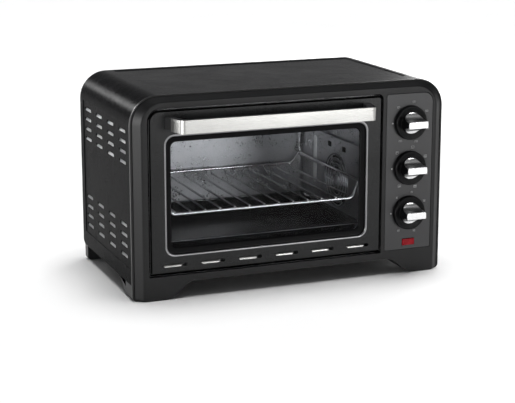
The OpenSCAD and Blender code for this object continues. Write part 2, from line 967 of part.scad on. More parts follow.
// Points of the arc of radius r that rounds the corner b between a and c
function corner_arc(a, b, c, r) =
    let (u = unit(a - b), w = unit(c - b), half = acos(u * w) / 2,
        centre = b + unit(u + w) * r / sin(half),
        p = b + u * r / tan(half) - centre, q = b + w * r / tan(half) - centre,
        start = atan2(p[1], p[0]), sweep = atan2(p[0] * q[1] - p[1] * q[0], p * q))
    [for (i = [0 : 5]) centre + r * [cos(start + sweep * i / 5), sin(start + sweep * i / 5)]];

// The bowed-out side of the handle at an inset from its outer surface, from depth y and back
function handle_path(inset, y, r) =
    let (front = -handle_reach + inset,
        left = [-handle_side(y, inset), y], left_corner = [-handle_side(front, inset), front],
        right_corner = [handle_side(front, inset), front], right = [handle_side(y, inset), y])
    concat([left], corner_arc(left, left_corner, right_corner, r),
        corner_arc(left_corner, right_corner, right, r), [right]);

function reversed(points) = [for (i = [len(points) - 1 : -1 : 0]) points[i]];

module handle_slice(height) {
    translate([handle_x, 0, handle_z - height / 2]) linear_extrude(height) children();
}

module handle_band() {
    color(steel) from_front() handle_slice(handle_h)
        polygon(concat(handle_path(0, band_back_y, band_r),
            reversed(handle_path(band_t, band_back_y, band_r - band_t))));
}

module handle_core() {
    leg = [[handle_side(band_back_y, 0), band_back_y], [handle_side(0, 0), 0]];
    outer = concat(flipped(leg), handle_path(band_t, band_back_y, band_r - band_t), leg);
    inner = handle_path(band_t + core_t, 0, band_r);
    color(black) from_front() difference() {
        handle_slice(handle_h - 1.6) polygon(concat(outer, reversed(inner)));
        for (s = [-1, 1]) translate([handle_x + s * handle_screw_half, 0, handle_z])
            rod_y(handle_screw_r, -handle_screw_len, handle_screw_len + 1);
    }
}

module handle_screws() {
    color(steel) from_front() for (s = [-1, 1]) translate([handle_x + s * handle_screw_half, 0, handle_z]) {
        rod_y(handle_screw_r, -handle_screw_len, handle_screw_len + door_t);
        rod_y(handle_head_r, door_t, handle_head_t);
    }
}

// Straight round wire from p to q
module wire(p, q, r) {
    v = q - p;
    translate(p) rotate([0, acos(v[2] / norm(v)), atan2(v[1], v[0])]) cylinder(r = r, h = norm(v), $fn = 24);
}

// Weld bead or bend that joins wires of radius r
module bead(p, r) {
    translate(p) sphere(r = r * 1.08, $fn = 24);
}

// The two cross wires that carry the surface and meet the ramps of the side rails
function hanger_points(s) =
    [[s * (surface_half - hanger_inset), rack_y0, wire_level - wire_r - rail_r + weld],
     [s * (surface_half - hanger_inset), rack_y1, wire_level + rear_stop_rise]];

module wire_rack() {
    first = -surface_half + first_wire_inset;
    pitch = -2 * first / (rack_wires - 1);
    bend_y = rack_y1 - rear_stop_rise;
    color(steel) from_front() translate([door_x, 0, 0]) {
        for (k = [0, 1]) wire(hanger_points(-1)[k], hanger_points(1)[k], rail_r);
        for (s = [-1, 1], p = hanger_points(s)) bead(p, rail_r);
        for (i = [0 : rack_wires - 1]) {
            x = first + i * pitch;
            wire([x, rack_y0 - 2, wire_level], [x, bend_y, wire_level], wire_r);
            bead([x, bend_y, wire_level], wire_r);
            wire([x, bend_y, wire_level], [x, rack_y1, wire_level + rear_stop_rise], wire_r * 0.95);
        }
    }
}

// Side rail of the rack: the runner on the wall's rib and its two ramps down to the surface.
// Each ramp leaves the runner level, clear of the rib, and ends against a bead of the surface.
module rack_rail(s) {
    knee = rail_half - rail_knee;
    color(steel) from_front() translate([door_x, 0, 0]) difference() {
        union() {
            wire([s * rail_half, rack_y0 - 3, rail_z], [s * rail_half, rack_y1 + 3, rail_z], rail_r);
            for (p = hanger_points(s)) {
                wire([s * knee, p[1], rail_z], [s * rail_half, p[1], rail_z], rail_r * 0.9);
                bead([s * knee, p[1], rail_z], rail_r * 0.9);
                wire(p, [s * knee, p[1], rail_z], rail_r * 0.9);
            }
        }
        for (p = hanger_points(s)) translate(p) sphere(r = rail_r * 1.08 + 0.02, $fn = 24);
    }
}

module rack_rail_left() {
    rack_rail(-1);
}

module rack_rail_right() {
    rack_rail(1);
}

front_bezel();
control_panel();
outer_shell();
base_panel();
back_panel();
rear_foot_left();
rear_foot_right();
front_frame();
cavity_left_wall();
cavity_right_wall();
cavity_top_wall();
cavity_floor();
cavity_back_wall();
upper_front_element();
upper_rear_element();
lower_front_element();
lower_rear_element();
element_insulators();
crumb_tray();
baking_tray();
fan_housing();
fan_motor();
thermostat();
function_switch();
timer();
indicator_lens();
indicator_lamp();
cable_gland();
terminal_block();
hinge_bush_left();
hinge_bush_right();
back_screws();
base_screws();
door_frame();
door_glass();
glass_gasket();
door_inner_frame();
inner_frame_screws();
handle_band();
handle_core();
handle_screws();
hinge_pin_left();
hinge_pin_right();
wire_rack();
rack_rail_left();
rack_rail_right();
fan_blade();
fan_shaft();
thermostat_knob();
thermostat_knob_trim();
thermostat_shaft();
function_knob();
function_knob_trim();
function_shaft();
timer_knob();
timer_knob_trim();
timer_shaft();
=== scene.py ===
import json
import math

import bmesh
import bpy
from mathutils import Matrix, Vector

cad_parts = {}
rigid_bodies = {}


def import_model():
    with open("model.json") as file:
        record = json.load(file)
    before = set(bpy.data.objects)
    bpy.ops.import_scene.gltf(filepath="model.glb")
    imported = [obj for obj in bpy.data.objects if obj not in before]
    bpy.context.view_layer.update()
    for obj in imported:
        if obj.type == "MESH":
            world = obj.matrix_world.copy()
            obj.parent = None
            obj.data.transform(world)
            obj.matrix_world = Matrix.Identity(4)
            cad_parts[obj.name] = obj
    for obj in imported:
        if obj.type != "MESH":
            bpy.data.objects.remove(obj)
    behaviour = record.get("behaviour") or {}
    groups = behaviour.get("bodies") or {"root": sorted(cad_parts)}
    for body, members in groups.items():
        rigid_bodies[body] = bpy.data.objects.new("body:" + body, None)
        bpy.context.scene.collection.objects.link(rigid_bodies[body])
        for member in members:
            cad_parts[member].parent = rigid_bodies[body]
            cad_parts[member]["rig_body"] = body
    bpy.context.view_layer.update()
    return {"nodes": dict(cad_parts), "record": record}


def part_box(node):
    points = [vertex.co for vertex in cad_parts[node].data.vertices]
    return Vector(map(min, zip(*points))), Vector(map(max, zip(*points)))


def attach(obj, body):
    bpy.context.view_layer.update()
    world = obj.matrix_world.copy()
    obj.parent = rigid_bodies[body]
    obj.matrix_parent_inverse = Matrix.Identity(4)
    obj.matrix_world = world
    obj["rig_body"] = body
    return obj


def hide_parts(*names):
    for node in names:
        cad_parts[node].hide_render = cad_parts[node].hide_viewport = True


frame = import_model()
NODES = frame["nodes"]
SLOT = {s["node"]: s["material_slot"] for s in frame["record"]["subparts"]}
MM = 0.001


# ---------------------------------------------------------------- materials
def node(nt, kind, inputs=None, **settings):
    n = nt.nodes.new(kind)
    for k, v in settings.items():
        setattr(n, k, v)
    for k, v in (inputs or {}).items():
        n.inputs[k].default_value = v
    return n


def material(name, color, rough, metal=0.0, spec=0.5, vary=0.18, scale=22.0, fine=700.0,
             bump=0.04, rough_vary=0.06, speckle=None, tint=None):
    """Surface with slow colour drift, fine grain in its gloss and height, and optional speckles."""
    m = bpy.data.materials.new(name)
    m.use_nodes = True
    nt = m.node_tree
    nt.nodes.clear()
    out = node(nt, "ShaderNodeOutputMaterial")
    bsdf = node(nt, "ShaderNodeBsdfPrincipled", {"Metallic": metal, "Specular IOR Level": spec})
    nt.links.new(bsdf.outputs[0], out.inputs["Surface"])
    place = node(nt, "ShaderNodeTexCoord").outputs["Object"]
    slow = node(nt, "ShaderNodeTexNoise", {"Scale": scale, "Detail": 4.0, "Roughness": 0.6})
    grain = node(nt, "ShaderNodeTexNoise", {"Scale": fine, "Detail": 2.0, "Roughness": 0.55})
    for n in (slow, grain):
        nt.links.new(place, n.inputs["Vector"])
    ramp = node(nt, "ShaderNodeValToRGB")
    dark, light = ramp.color_ramp.elements
    dark.position = 0.3
    light.position = 0.7
    dark.color = [c * (1 - vary) for c in color] + [1]
    light.color = [min(1.0, c * (1 + vary)) for c in tint or color] + [1]
    nt.links.new(slow.outputs["Fac"], ramp.inputs["Fac"])
    shade_out = ramp.outputs["Color"]
    if speckle:
        dot_color, dot_scale = speckle
        dots = node(nt, "ShaderNodeTexVoronoi", {"Scale": dot_scale})
        nt.links.new(place, dots.inputs["Vector"])
        cut = node(nt, "ShaderNodeMapRange",
                   {"From Min": 0.12, "From Max": 0.2, "To Min": 1.0, "To Max": 0.0})
        nt.links.new(dots.outputs["Distance"], cut.inputs["Value"])
        mix = node(nt, "ShaderNodeMix", data_type="RGBA")
        mix.inputs["B"].default_value = list(dot_color) + [1]
        nt.links.new(cut.outputs[0], mix.inputs["Factor"])
        nt.links.new(shade_out, mix.inputs["A"])
        shade_out = mix.outputs["Result"]
    nt.links.new(shade_out, bsdf.inputs["Base Color"])
    blend = node(nt, "ShaderNodeMath", operation="ADD")
    nt.links.new(slow.outputs["Fac"], blend.inputs[0])
    nt.links.new(grain.outputs["Fac"], blend.inputs[1])
    rr = node(nt, "ShaderNodeMapRange",
              {"From Min": 0.6, "From Max": 1.4,
               "To Min": max(0.02, rough - rough_vary), "To Max": rough + rough_vary})
    nt.links.new(blend.outputs[0], rr.inputs["Value"])
    nt.links.new(rr.outputs[0], bsdf.inputs["Roughness"])
    bp = node(nt, "ShaderNodeBump", {"Strength": bump, "Distance": 0.2 * MM})
    nt.links.new(grain.outputs["Fac"], bp.inputs["Height"])
    nt.links.new(bp.outputs[0], bsdf.inputs["Normal"])
    return m


def brushed(name, color, rough):
    """Metal with fine scratches along x."""
    along, across, spread = 6.0, 1600.0, 0.12
    m = material(name, color, rough, metal=1.0, vary=0.08, scale=16.0, bump=0.0)
    nt = m.node_tree
    bsdf = next(n for n in nt.nodes if n.type == "BSDF_PRINCIPLED")
    tc = node(nt, "ShaderNodeTexCoord")
    mp = node(nt, "ShaderNodeMapping", {"Scale": (along, across, across)})
    nt.links.new(tc.outputs["Object"], mp.inputs["Vector"])
    lines = node(nt, "ShaderNodeTexNoise", {"Scale": 1.0, "Detail": 3.0, "Roughness": 0.7})
    nt.links.new(mp.outputs[0], lines.inputs["Vector"])
    rr = node(nt, "ShaderNodeMapRange", {"From Min": 0.3, "From Max": 0.7,
                                         "To Min": rough - spread / 2, "To Max": rough + spread / 2})
    nt.links.new(lines.outputs["Fac"], rr.inputs["Value"])
    nt.links.new(rr.outputs[0], bsdf.inputs["Roughness"])
    bp = node(nt, "ShaderNodeBump", {"Strength": 0.05, "Distance": 0.1 * MM})
    nt.links.new(lines.outputs["Fac"], bp.inputs["Height"])
    nt.links.new(bp.outputs[0], bsdf.inputs["Normal"])
    return m


def window_glass(name):
    """Clear tempered glass that lets the lamps through, with faint smudges in its gloss."""
    m = bpy.data.materials.new(name)
    m.use_nodes = True
    nt = m.node_tree
    nt.nodes.clear()
    out = node(nt, "ShaderNodeOutputMaterial")
    bsdf = node(nt, "ShaderNodeBsdfPrincipled",
                {"Transmission Weight": 1.0, "IOR": 1.14, "Base Color": (0.7, 0.71, 0.725, 1)})
    clear = node(nt, "ShaderNodeBsdfTransparent", {"Color": (0.8, 0.81, 0.82, 1)})
    tc = node(nt, "ShaderNodeTexCoord")
    smudge = node(nt, "ShaderNodeTexNoise", {"Scale": 14.0, "Detail": 5.0})
    nt.links.new(tc.outputs["Object"], smudge.inputs["Vector"])
    rr = node(nt, "ShaderNodeMapRange", {"From Min": 0.45, "From Max": 0.75, "To Min": 0.0, "To Max": 0.035})
    nt.links.new(smudge.outputs["Fac"], rr.inputs["Value"])
    nt.links.new(rr.outputs[0], bsdf.inputs["Roughness"])
    path = node(nt, "ShaderNodeLightPath")
    mix = node(nt, "ShaderNodeMixShader")
    nt.links.new(path.outputs["Is Shadow Ray"], mix.inputs[0])
    nt.links.new(bsdf.outputs[0], mix.inputs[1])
    nt.links.new(clear.outputs[0], mix.inputs[2])
    nt.links.new(mix.outputs[0], out.inputs["Surface"])
    return m


M = {
    "bezel_plastic": material("satin_black_bezel", (0.008, 0.008, 0.0085), 0.4, spec=0.25, fine=1100,
                              bump=0.05),
    "panel_plastic": material("satin_black_panel", (0.02, 0.02, 0.022), 0.38, spec=0.5, fine=1300, bump=0.06),
    "cabinet_paint": material("powder_black", (0.0075, 0.0075, 0.008), 0.27, spec=0.006, fine=900, bump=0.08),
    "base_steel": material("dark_coated_steel", (0.03, 0.03, 0.03), 0.5, spec=0.4, fine=500, bump=0.06),
    "door_paint": material("gloss_black_enamel", (0.0065, 0.007, 0.0075), 0.28, spec=0.28, fine=900,
                           bump=0.012),
    "cavity_steel": material("aluminised_steel", (0.42, 0.42, 0.43), 0.3, metal=1.0, vary=0.1, scale=30,
                             fine=420, bump=0.05, rough_vary=0.07),
    "element_sheath": material("oxidised_sheath", (0.16, 0.15, 0.145), 0.42, metal=1.0, vary=0.35, scale=60,
                               fine=500, bump=0.1, tint=(0.24, 0.2, 0.17)),
    "ceramic": material("glazed_ceramic", (0.82, 0.8, 0.75), 0.3, vary=0.05,
                        speckle=((0.5, 0.45, 0.38), 900)),
    "enamel": material("black_enamel", (0.003, 0.003, 0.0035), 0.22, spec=0.06, vary=0.2, bump=0.02,
                       fine=900),
    "motor_steel": brushed("turned_motor_steel", (0.42, 0.42, 0.43), 0.36),
    "switch_case": material("phenolic_case", (0.5, 0.49, 0.45), 0.45, vary=0.08, fine=600, bump=0.06),
    "lamp_body": material("lamp_body_nylon", (0.68, 0.68, 0.63), 0.42, vary=0.06),
    "gland_rubber": material("gland_rubber", (0.02, 0.02, 0.02), 0.62, vary=0.2, fine=1500, bump=0.1),
    "pin_steel": brushed("ground_pin_steel", (0.66, 0.66, 0.66), 0.22),
    "screw_steel": material("zinc_screw", (0.58, 0.58, 0.56), 0.3, metal=1.0, vary=0.12, scale=300, fine=1500,
                            tint=(0.62, 0.6, 0.5)),
    "gasket": material("silicone_gasket", (0.02, 0.02, 0.02), 0.6, vary=0.15, fine=1200, bump=0.08),
    "handle_steel": brushed("brushed_handle_steel", (0.4, 0.398, 0.386), 0.28),
    "handle_plastic": material("handle_core_plastic", (0.018, 0.018, 0.019), 0.4, fine=1100, bump=0.05),
    "rack_chrome": material("rack_chrome", (0.8, 0.8, 0.81), 0.12, metal=1.0, vary=0.06, scale=40, fine=700,
                            bump=0.03),
    "knob_plastic": material("knob_black", (0.004, 0.004, 0.0045), 0.36, spec=0.1, fine=1300, bump=0.04),
    "knob_trim": brushed("satin_silver_trim", (0.74, 0.74, 0.745), 0.27),
    "glass": window_glass("tempered_glass"),
    "red_lens": material("ribbed_red_lens", (0.36, 0.008, 0.016), 0.22, spec=0.12, vary=0.3, scale=90,
                         fine=500, bump=0.1),
    "print": material("printed_marks", (0.5, 0.5, 0.5), 0.5, vary=0.15, scale=400, fine=2500),
    # painted highlight: light grey lips stand for the light caught by the black shell's louvres
    "vent_lip": material("vent_lip_painted_highlight", (0.42, 0.43, 0.44), 0.4, metal=0.2, vary=0.12, fine=800),
    "slot_lip": brushed("bright_slot_lip", (0.5, 0.5, 0.485), 0.3),
    # painted light: a lighter, glossier copy of the black powder coat, so the back reads under its dimmer
    # light
    "rear_paint": material("powder_black_rear_painted_light", (0.02, 0.02, 0.021), 0.42, spec=0.45, fine=900, bump=0.08),
    # painted shade: a black, unreflecting sheet that widens the shadow gap round the door
    "gap_shade_sheet": material("painted_gap_shade", (0.0015, 0.0015, 0.0015), 0.6, spec=0.0, fine=900, bump=0.02),
    # painted reflection: near-white bead where a lamp's reflection lies along the right wall
    "wall_bead": material("wall_bead_painted_reflection", (0.86, 0.86, 0.87), 0.4, vary=0.08, fine=600),
    # painted highlight: steel stands in for the light caught by the door's black rolled lip
    "window_edge": brushed("window_edge_painted_highlight", (0.22, 0.22, 0.225), 0.3),
    # partly print, partly painted shade: a dull black band over the glass's printed edge and over the recess
    # floor and walls in shadow
    "window_mask": material("window_print_and_painted_shade", (0.003, 0.003, 0.0035), 0.3, spec=0.06, fine=900,
                            bump=0.01),
    # painted shade: the wall's own steel, coloured darker so the grille reads dark
    "fan_rim": material("fan_rim_painted_shade", (0.17, 0.17, 0.178), 0.45, metal=0.9, vary=0.12, fine=700,
                        bump=0.03),
    "tray_edge": material("rolled_tray_edge", (0.5, 0.5, 0.51), 0.35, metal=0.9, vary=0.2, fine=700),
    # painted shade: near-black steel so the grille's slots read as shadow
    "fan_steel": material("fan_steel_painted_shade", (0.05, 0.049, 0.047), 0.45, metal=1.0, vary=0.3, scale=40,
                          fine=500, bump=0.06),
}


# ---------------------------------------------------------------- mesh helpers
def smooth(me, deg=33):
    me.polygons.foreach_set("use_smooth", [True] * len(me.polygons))
    me.set_sharp_from_angle(angle=math.radians(deg))


def finish_piece(name, bm, mat, body, stands_for=(), deg=33, weighted=True, recalc=True):
    """Turns a bmesh into a smooth-shaded piece that rides on a body and may stand for CAD nodes."""
    if recalc:
        bmesh.ops.recalc_face_normals(bm, faces=bm.faces)
    me = bpy.data.meshes.new(name)
    bm.to_mesh(me)
    bm.free()
    if "custom_normal" in me.attributes:
        me.attributes.remove(me.attributes["custom_normal"])
    smooth(me, deg)
    ob = bpy.data.objects.new(name, me)
    bpy.context.scene.collection.objects.link(ob)
    me.materials.append(mat)
    if weighted:
        w = ob.modifiers.new("weighted", "WEIGHTED_NORMAL")
        w.keep_sharp = True
        w.weight = 90
    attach(ob, body)
    if stands_for:
        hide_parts(*stands_for)
    return ob


def cad_mesh(name):
    """A CAD node's mesh, with its flat faces joined up again."""
    bm = bmesh.new()
    bm.from_mesh(NODES[name].data)
    bmesh.ops.remove_doubles(bm, verts=bm.verts, dist=0.002 * MM)
    bmesh.ops.dissolve_limit(bm, angle_limit=math.radians(0.4), verts=bm.verts, edges=bm.edges)
    return bm


def round_edges(bm, width, segments=3, angle=35, keep=None):
    edges = [e for e in bm.edges if len(e.link_faces) == 2 and e.calc_face_angle(0) > math.radians(angle)
             and (keep is None or keep(e))]
    if edges:
        bmesh.ops.bevel(bm, geom=edges, offset=width, segments=segments, profile=0.5, affect="EDGES",
                        clamp_overlap=False)


def refine(name, width=0.3, segments=3, angle=35, mat=None, deg=33):
    """A CAD node again, with its edges rounded as moulding or pressing leaves them."""
    bm = cad_mesh(name)
    round_edges(bm, width * MM, segments, angle)
    slot = SLOT[name]
    finish_piece("vis_" + name, bm, mat or M[slot], NODES[name]["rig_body"], [name], deg)


def rect_loop(cx, cz, w, h, radii, n=10):
    """Points of a rounded rectangle, from the upper right corner round to the left."""
    pts = []
    for k, r in enumerate(radii):
        sx = 1 if k in (0, 3) else -1
        sz = 1 if k < 2 else -1
        r = max(r, 0.02 * MM)
        for i in range(n):
            a = math.radians(90 * k + 90 * i / (n - 1))
            pts.append((cx + sx * (w / 2 - r) + r * math.cos(a), cz + sz * (h / 2 - r) + r * math.sin(a)))
    return pts


def stadium_loop(cx, cz, length, h, n=9):
    """Points of a slot with round ends."""
    r = h / 2
    pts = []
    for s in (1, -1):
        for i in range(n):
            a = math.radians(-90 + 180 * i / (n - 1))
            pts.append((cx + s * (length / 2 - r + r * math.cos(a)), cz + s * r * math.sin(a)))
    return pts


def ring_at(bm, pts, y):
    return [bm.verts.new((x, y, z)) for x, z in pts]


def loft(bm, rings):
    """Quads between closed rings of the same number of vertices."""
    for a, b in zip(rings, rings[1:]):
        n = len(a)
        for i in range(n):
            j = (i + 1) % n
            bm.faces.new((a[i], a[j], b[j], b[i]))


def fill(bm, *loops):
    """A flat face with holes between closed loops of vertices."""
    edges = []
    for loop in loops:
        n = len(loop)
        for i in range(n):
            pair = (loop[i], loop[(i + 1) % n])
            edges.append(bm.edges.get(pair) or bm.edges.new(pair))
    bmesh.ops.triangle_fill(bm, use_beauty=True, use_dissolve=False, edges=edges)


def fillet(points, radius, n=6):
    """The same path with its inner corners rounded."""
    out = [Vector(points[0])]
    for a, b, c in zip(points, points[1:], points[2:]):
        a, b, c = Vector(a), Vector(b), Vector(c)
        u, w = (a - b), (c - b)
        t = min(radius, u.length * 0.45, w.length * 0.45)
        p, q = b + u.normalized() * t, b + w.normalized() * t
        for i in range(n + 1):
            s = i / n
            out.append(p * (1 - s) ** 2 + b * 2 * s * (1 - s) + q * s ** 2)
    out.append(Vector(points[-1]))
    return out


def circle(bm, centre, u, v, r, seg):
    """A ring of vertices in the plane of the unit vectors u and v."""
    angles = [2 * math.pi * k / seg for k in range(seg)]
    return [bm.verts.new(centre + r * (u * math.cos(a) + v * math.sin(a))) for a in angles]


def tube(bm, points, r, seg=14):
    """Round wire along a path, with domed ends."""
    pts = [Vector(p) for p in points]
    dirs = [(pts[min(i + 1, len(pts) - 1)] - pts[max(i - 1, 0)]).normalized() for i in range(len(pts))]
    up = Vector((0, 0, 1)) if abs(dirs[0].z) < 0.9 else Vector((1, 0, 0))
    rings = []
    dome = 0.6 * r

    def add_ring(p, d, radius):
        nonlocal up
        side = d.cross(up).normalized()
        up = side.cross(d).normalized()
        rings.append(circle(bm, p, side, up, radius, seg))

    for s in (0.35, 0.75):
        add_ring(pts[0] + dirs[0] * dome * (1 - s) ** 2, dirs[0], r * s)
    for i, (p, d) in enumerate(zip(pts, dirs)):
        shift = dome if i == 0 else -dome if i == len(pts) - 1 else 0
        add_ring(p + d * shift, d, r)
    for s in (0.75, 0.35):
        add_ring(pts[-1] - dirs[-1] * dome * (1 - s) ** 2, dirs[-1], r * s)
    loft(bm, rings)
    bm.faces.new(rings[0])
    bm.faces.new(list(reversed(rings[-1])))


def lathe(bm, centre, axis, profile, seg=48):
    """Turns (radius, distance along the axis) pairs about an axis through centre; ends close on the axis."""
    d = Vector(axis).normalized()
    u = d.orthogonal().normalized()
    v = d.cross(u)
    rings = []
    for r, t in profile:
        c = Vector(centre) + d * t
        rings.append(circle(bm, c, u, v, r, seg) if r > 0 else [bm.verts.new(c)])
    for a, b in zip(rings, rings[1:]):
        for k in range(seg):
            j = (k + 1) % seg
            if len(a) == 1:
                bm.faces.new((a[0], b[j], b[k]))
            elif len(b) == 1:
                bm.faces.new((a[k], a[j], b[0]))
            else:
                bm.faces.new((a[k], a[j], b[j], b[k]))


def islands(bm):
    """The separate solids of a mesh, each as a list of vertices."""
    seen, found = set(), []
    for first in bm.verts:
        if first in seen:
            continue
        seen.add(first)
        group = [first]
        for v in group:
            fresh = [e.other_vert(v) for e in v.link_edges if e.other_vert(v) not in seen]
            seen.update(fresh)
            group += fresh
        found.append(group)
    return found


# ---------------------------------------------------------------- where things are
panel_lo, panel_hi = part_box("control_panel")
shell_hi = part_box("outer_shell")[1]
door_lo, door_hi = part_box("door_frame")
band_lo, band_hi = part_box("handle_band")
glass_lo, glass_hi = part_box("door_glass")
F = panel_lo.y
HALF_W = shell_hi.x
TOP = shell_hi.z
DOOR_X = (door_lo.x + door_hi.x) / 2
DOOR_W = door_hi.x - door_lo.x
WINDOW_Z = (glass_lo.z + glass_hi.z) / 2
GLASS_OVERLAP = 4 * MM
WINDOW_W = glass_hi.x - glass_lo.x - 2 * GLASS_OVERLAP
WINDOW_H = glass_hi.z - glass_lo.z - 2 * GLASS_OVERLAP
SHEET = 1.2 * MM
CAVITY_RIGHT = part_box("cavity_right_wall")[1].x - SHEET


# ---------------------------------------------------------------- front bezel
def arch_points():
    """Underside between the front feet, from the left foot's inner toe to the right one's."""
    foot_w, arch_start, arch_h, n = 46 * MM, 88 * MM, 23.5 * MM, 14
    a, b = -HALF_W + foot_w, -HALF_W + arch_start
    left = [(a + (b - a) * i / n, arch_h * (1 - math.cos(math.pi * i / n)) / 2) for i in range(n + 1)]
    return left + [(-x, z) for x, z in reversed(left)]


def quarter(n):
    """Cosine and sine at n equal steps of a right angle."""
    return [(math.cos(math.radians(90 * i / n)), math.sin(math.radians(90 * i / n))) for i in range(n + 1)]


def bezel_loop(inset, top_inset, r, foot_r):
    """Outline of the bezel: round shoulders, two feet and the arch between them."""
    w, top = HALF_W - inset, TOP - top_inset
    pts = [(w - r + r * c, top - r + r * sn) for c, sn in quarter(14)]
    pts += [(-x, z) for x, z in reversed(pts)]
    foot = [(-w + foot_r - foot_r * c, foot_r - foot_r * sn) for c, sn in quarter(8)]
    return pts + foot + arch_points() + [(-x, z) for x, z in reversed(foot)]


BEZEL_T = 12 * MM
OPENING_LOW, OPENING_HIGH = 33.5 * MM, 265.5 * MM
DOOR_GAP = 1 * MM


def front_feet():
    """The backs of the two front feet, as the solid has them."""
    feet = cad_mesh("front_bezel")
    cut = F + BEZEL_T
    bmesh.ops.bisect_plane(feet, geom=feet.verts[:] + feet.edges[:] + feet.faces[:],
                           plane_co=(0, cut + 0.01 * MM, 0), plane_no=(0, 1, 0), clear_inner=True, dist=1e-7)
    bmesh.ops.holes_fill(feet, edges=[e for e in feet.edges if len(e.link_faces) == 1])
    round_edges(feet, 0.6 * MM, 3, 35, keep=lambda e: min(v.co.y for v in e.verts) > cut + 0.4 * MM)
    me = bpy.data.meshes.new("feet")
    feet.to_mesh(me)
    feet.free()
    return me


def build_bezel():
    bm = bmesh.new()
    # (depth, inset at the sides, inset at the top, corner radius): the edge and groove, the slope, the roll
    edge = [(12, 0, 0, 40), (8.7, 0, 0, 40), (8.25, 0.12, 0.12, 39.9), (8.02, 0.5, 0.45, 39.5),
            (8, 1.0, 0.8, 39), (8, 2.3, 1.6, 37.7), (8.25, 2.5, 1.75, 37.5), (9.1, 2.65, 1.85, 37.4),
            (9.1, 3.15, 2.1, 37), (8.1, 3.25, 2.2, 36.8), (7.7, 3.55, 2.35, 36.7)]
    slope = [(7.2, 4.1, 2.7, 36.3), (4.3, 8.0, 5.2, 34.2), (1.9, 11.1, 7.2, 32.3)]
    roll = [(1.2, 12.0, 7.75, 31.8), (0.65, 12.85, 8.3, 31.3), (0.28, 13.7, 8.9, 30.8),
            (0.07, 14.6, 9.5, 30.3), (0, 15.6, 10.2, 29.8)]
    rings = [ring_at(bm, bezel_loop(i * MM, t * MM, r * MM, max(2.0, 6 - 0.15 * i) * MM), F + y * MM)
             for y, i, t, r in edge + slope + roll]
    loft(bm, rings)

    def mouth(cx, cz, w, h, radii, steps):
        """A rounded opening sunk from the front face, through (growth, depth) steps."""
        loops = []
        for g, y in steps:
            corners = [max(0.3, r + g) * MM for r in radii]
            loops.append(ring_at(bm, rect_loop(cx, cz, w + 2 * g * MM, h + 2 * g * MM, corners), F + y * MM))
        loft(bm, loops)
        return loops

    door_rings = mouth(DOOR_X, (OPENING_LOW + OPENING_HIGH) / 2,
                       DOOR_W + 2 * DOOR_GAP, OPENING_HIGH - OPENING_LOW, (7, 17, 1.5, 1.5),
                       ((0.9, 0), (0.45, 0.08), (0.12, 0.35), (0, 0.9), (0, 12)))
    panel_rings = mouth((panel_lo.x + panel_hi.x) / 2, (panel_lo.z + panel_hi.z) / 2,
                        panel_hi.x - panel_lo.x, panel_hi.z - panel_lo.z, (14, 3, 3, 3),
                        ((0.8, 0), (0.5, 0.1), (0.35, 0.5), (0.3, 2.5), (-4, 2.5), (-4, 12)))
    fill(bm, rings[-1], door_rings[0], panel_rings[0])
    fill(bm, rings[0], door_rings[-1], panel_rings[-1])
    feet = front_feet()
    bm.from_mesh(feet)
    bpy.data.meshes.remove(feet)
    return finish_piece("bezel", bm, M["bezel_plastic"], "cabinet", ["front_bezel"], deg=40)


bezel = build_bezel()


# ---------------------------------------------------------------- cabinet
VENT_FIRST_Y, VENT_PITCH_Y, VENT_PITCH_Z = 46.5 * MM, 57.5 * MM, 14.5 * MM
VENT_LENGTH, VENT_H = 30.4 * MM, 4.5 * MM


def vents():
    """(depth, height) of the middle of each side vent."""
    return [(F + VENT_FIRST_Y + VENT_PITCH_Y * c, base + VENT_PITCH_Z * r)
            for base in (188.5 * MM, 57.8 * MM) for r in range(4) for c in range(4)]


def sheet(bm, rows, thickness):
    """A thin curved sheet through rows of points."""
    grid = [[bm.verts.new(p) for p in row] for row in rows]
    faces = [bm.faces.new((a[i], a[i + 1], b[i + 1], b[i]))
             for a, b in zip(grid, grid[1:]) for i in range(len(a) - 1)]
    bmesh.ops.solidify(bm, geom=faces, thickness=thickness)


def build_vent_lips(side):
    """A pressed lip in each vent of one side, leaning in from the vent's lower edge; light grey, a painted
    highlight on the black pressed sheet.
    """
    bm = bmesh.new()
    outer, reach = HALF_W - 1.15 * MM, 2.6 * MM
    for y, z in vents():
        rows = []
        for k in range(7):
            t = k / 6
            x = side * (outer - reach * math.sin(t * 1.35))
            half = VENT_LENGTH / 2 * math.sqrt(1 - (2 * t - 1) ** 2 * 0.12)
            rows.append([(x, y - half + 2 * half * i / 8, z + VENT_H * (t - 0.5)) for i in range(9)])
        sheet(bm, rows, 0.5 * MM)
    finish_piece("vent_lips_" + ("right" if side > 0 else "left"), bm, M["vent_lip"], "cabinet",
                 weighted=False)


refine("outer_shell", 0.42, 3, 30, deg=40)
build_vent_lips(-1)
build_vent_lips(1)
refine("control_panel", 0.45, 3, 40)


# ---------------------------------------------------------------- door
HINGE_Z, HINGE_R = 40 * MM, 5 * MM
DOOR_RADII = (6, 16, 2, 2)
SLOT_XS = [DOOR_X + (k - 2.5) * 55 * MM for k in range(6)]
SLOT_Z, SLOT_LENGTH, SLOT_H = 48.2 * MM, 34 * MM, 4.6 * MM
WINDOW_R, SILL_DROP = 9, 1.2 * MM


def window_ring(bm, grow, y):
    """The window's outline grown by some mm, at a depth in mm; wide rings have a lower sill."""
    drop = SILL_DROP if grow > 6 else 0.0
    loop = rect_loop(DOOR_X, WINDOW_Z - drop / 2, WINDOW_W + 2 * grow * MM, WINDOW_H + 2 * grow * MM + drop,
                     [(WINDOW_R + grow / 2) * MM] * 4, 12)
    return ring_at(bm, loop, F + y * MM)


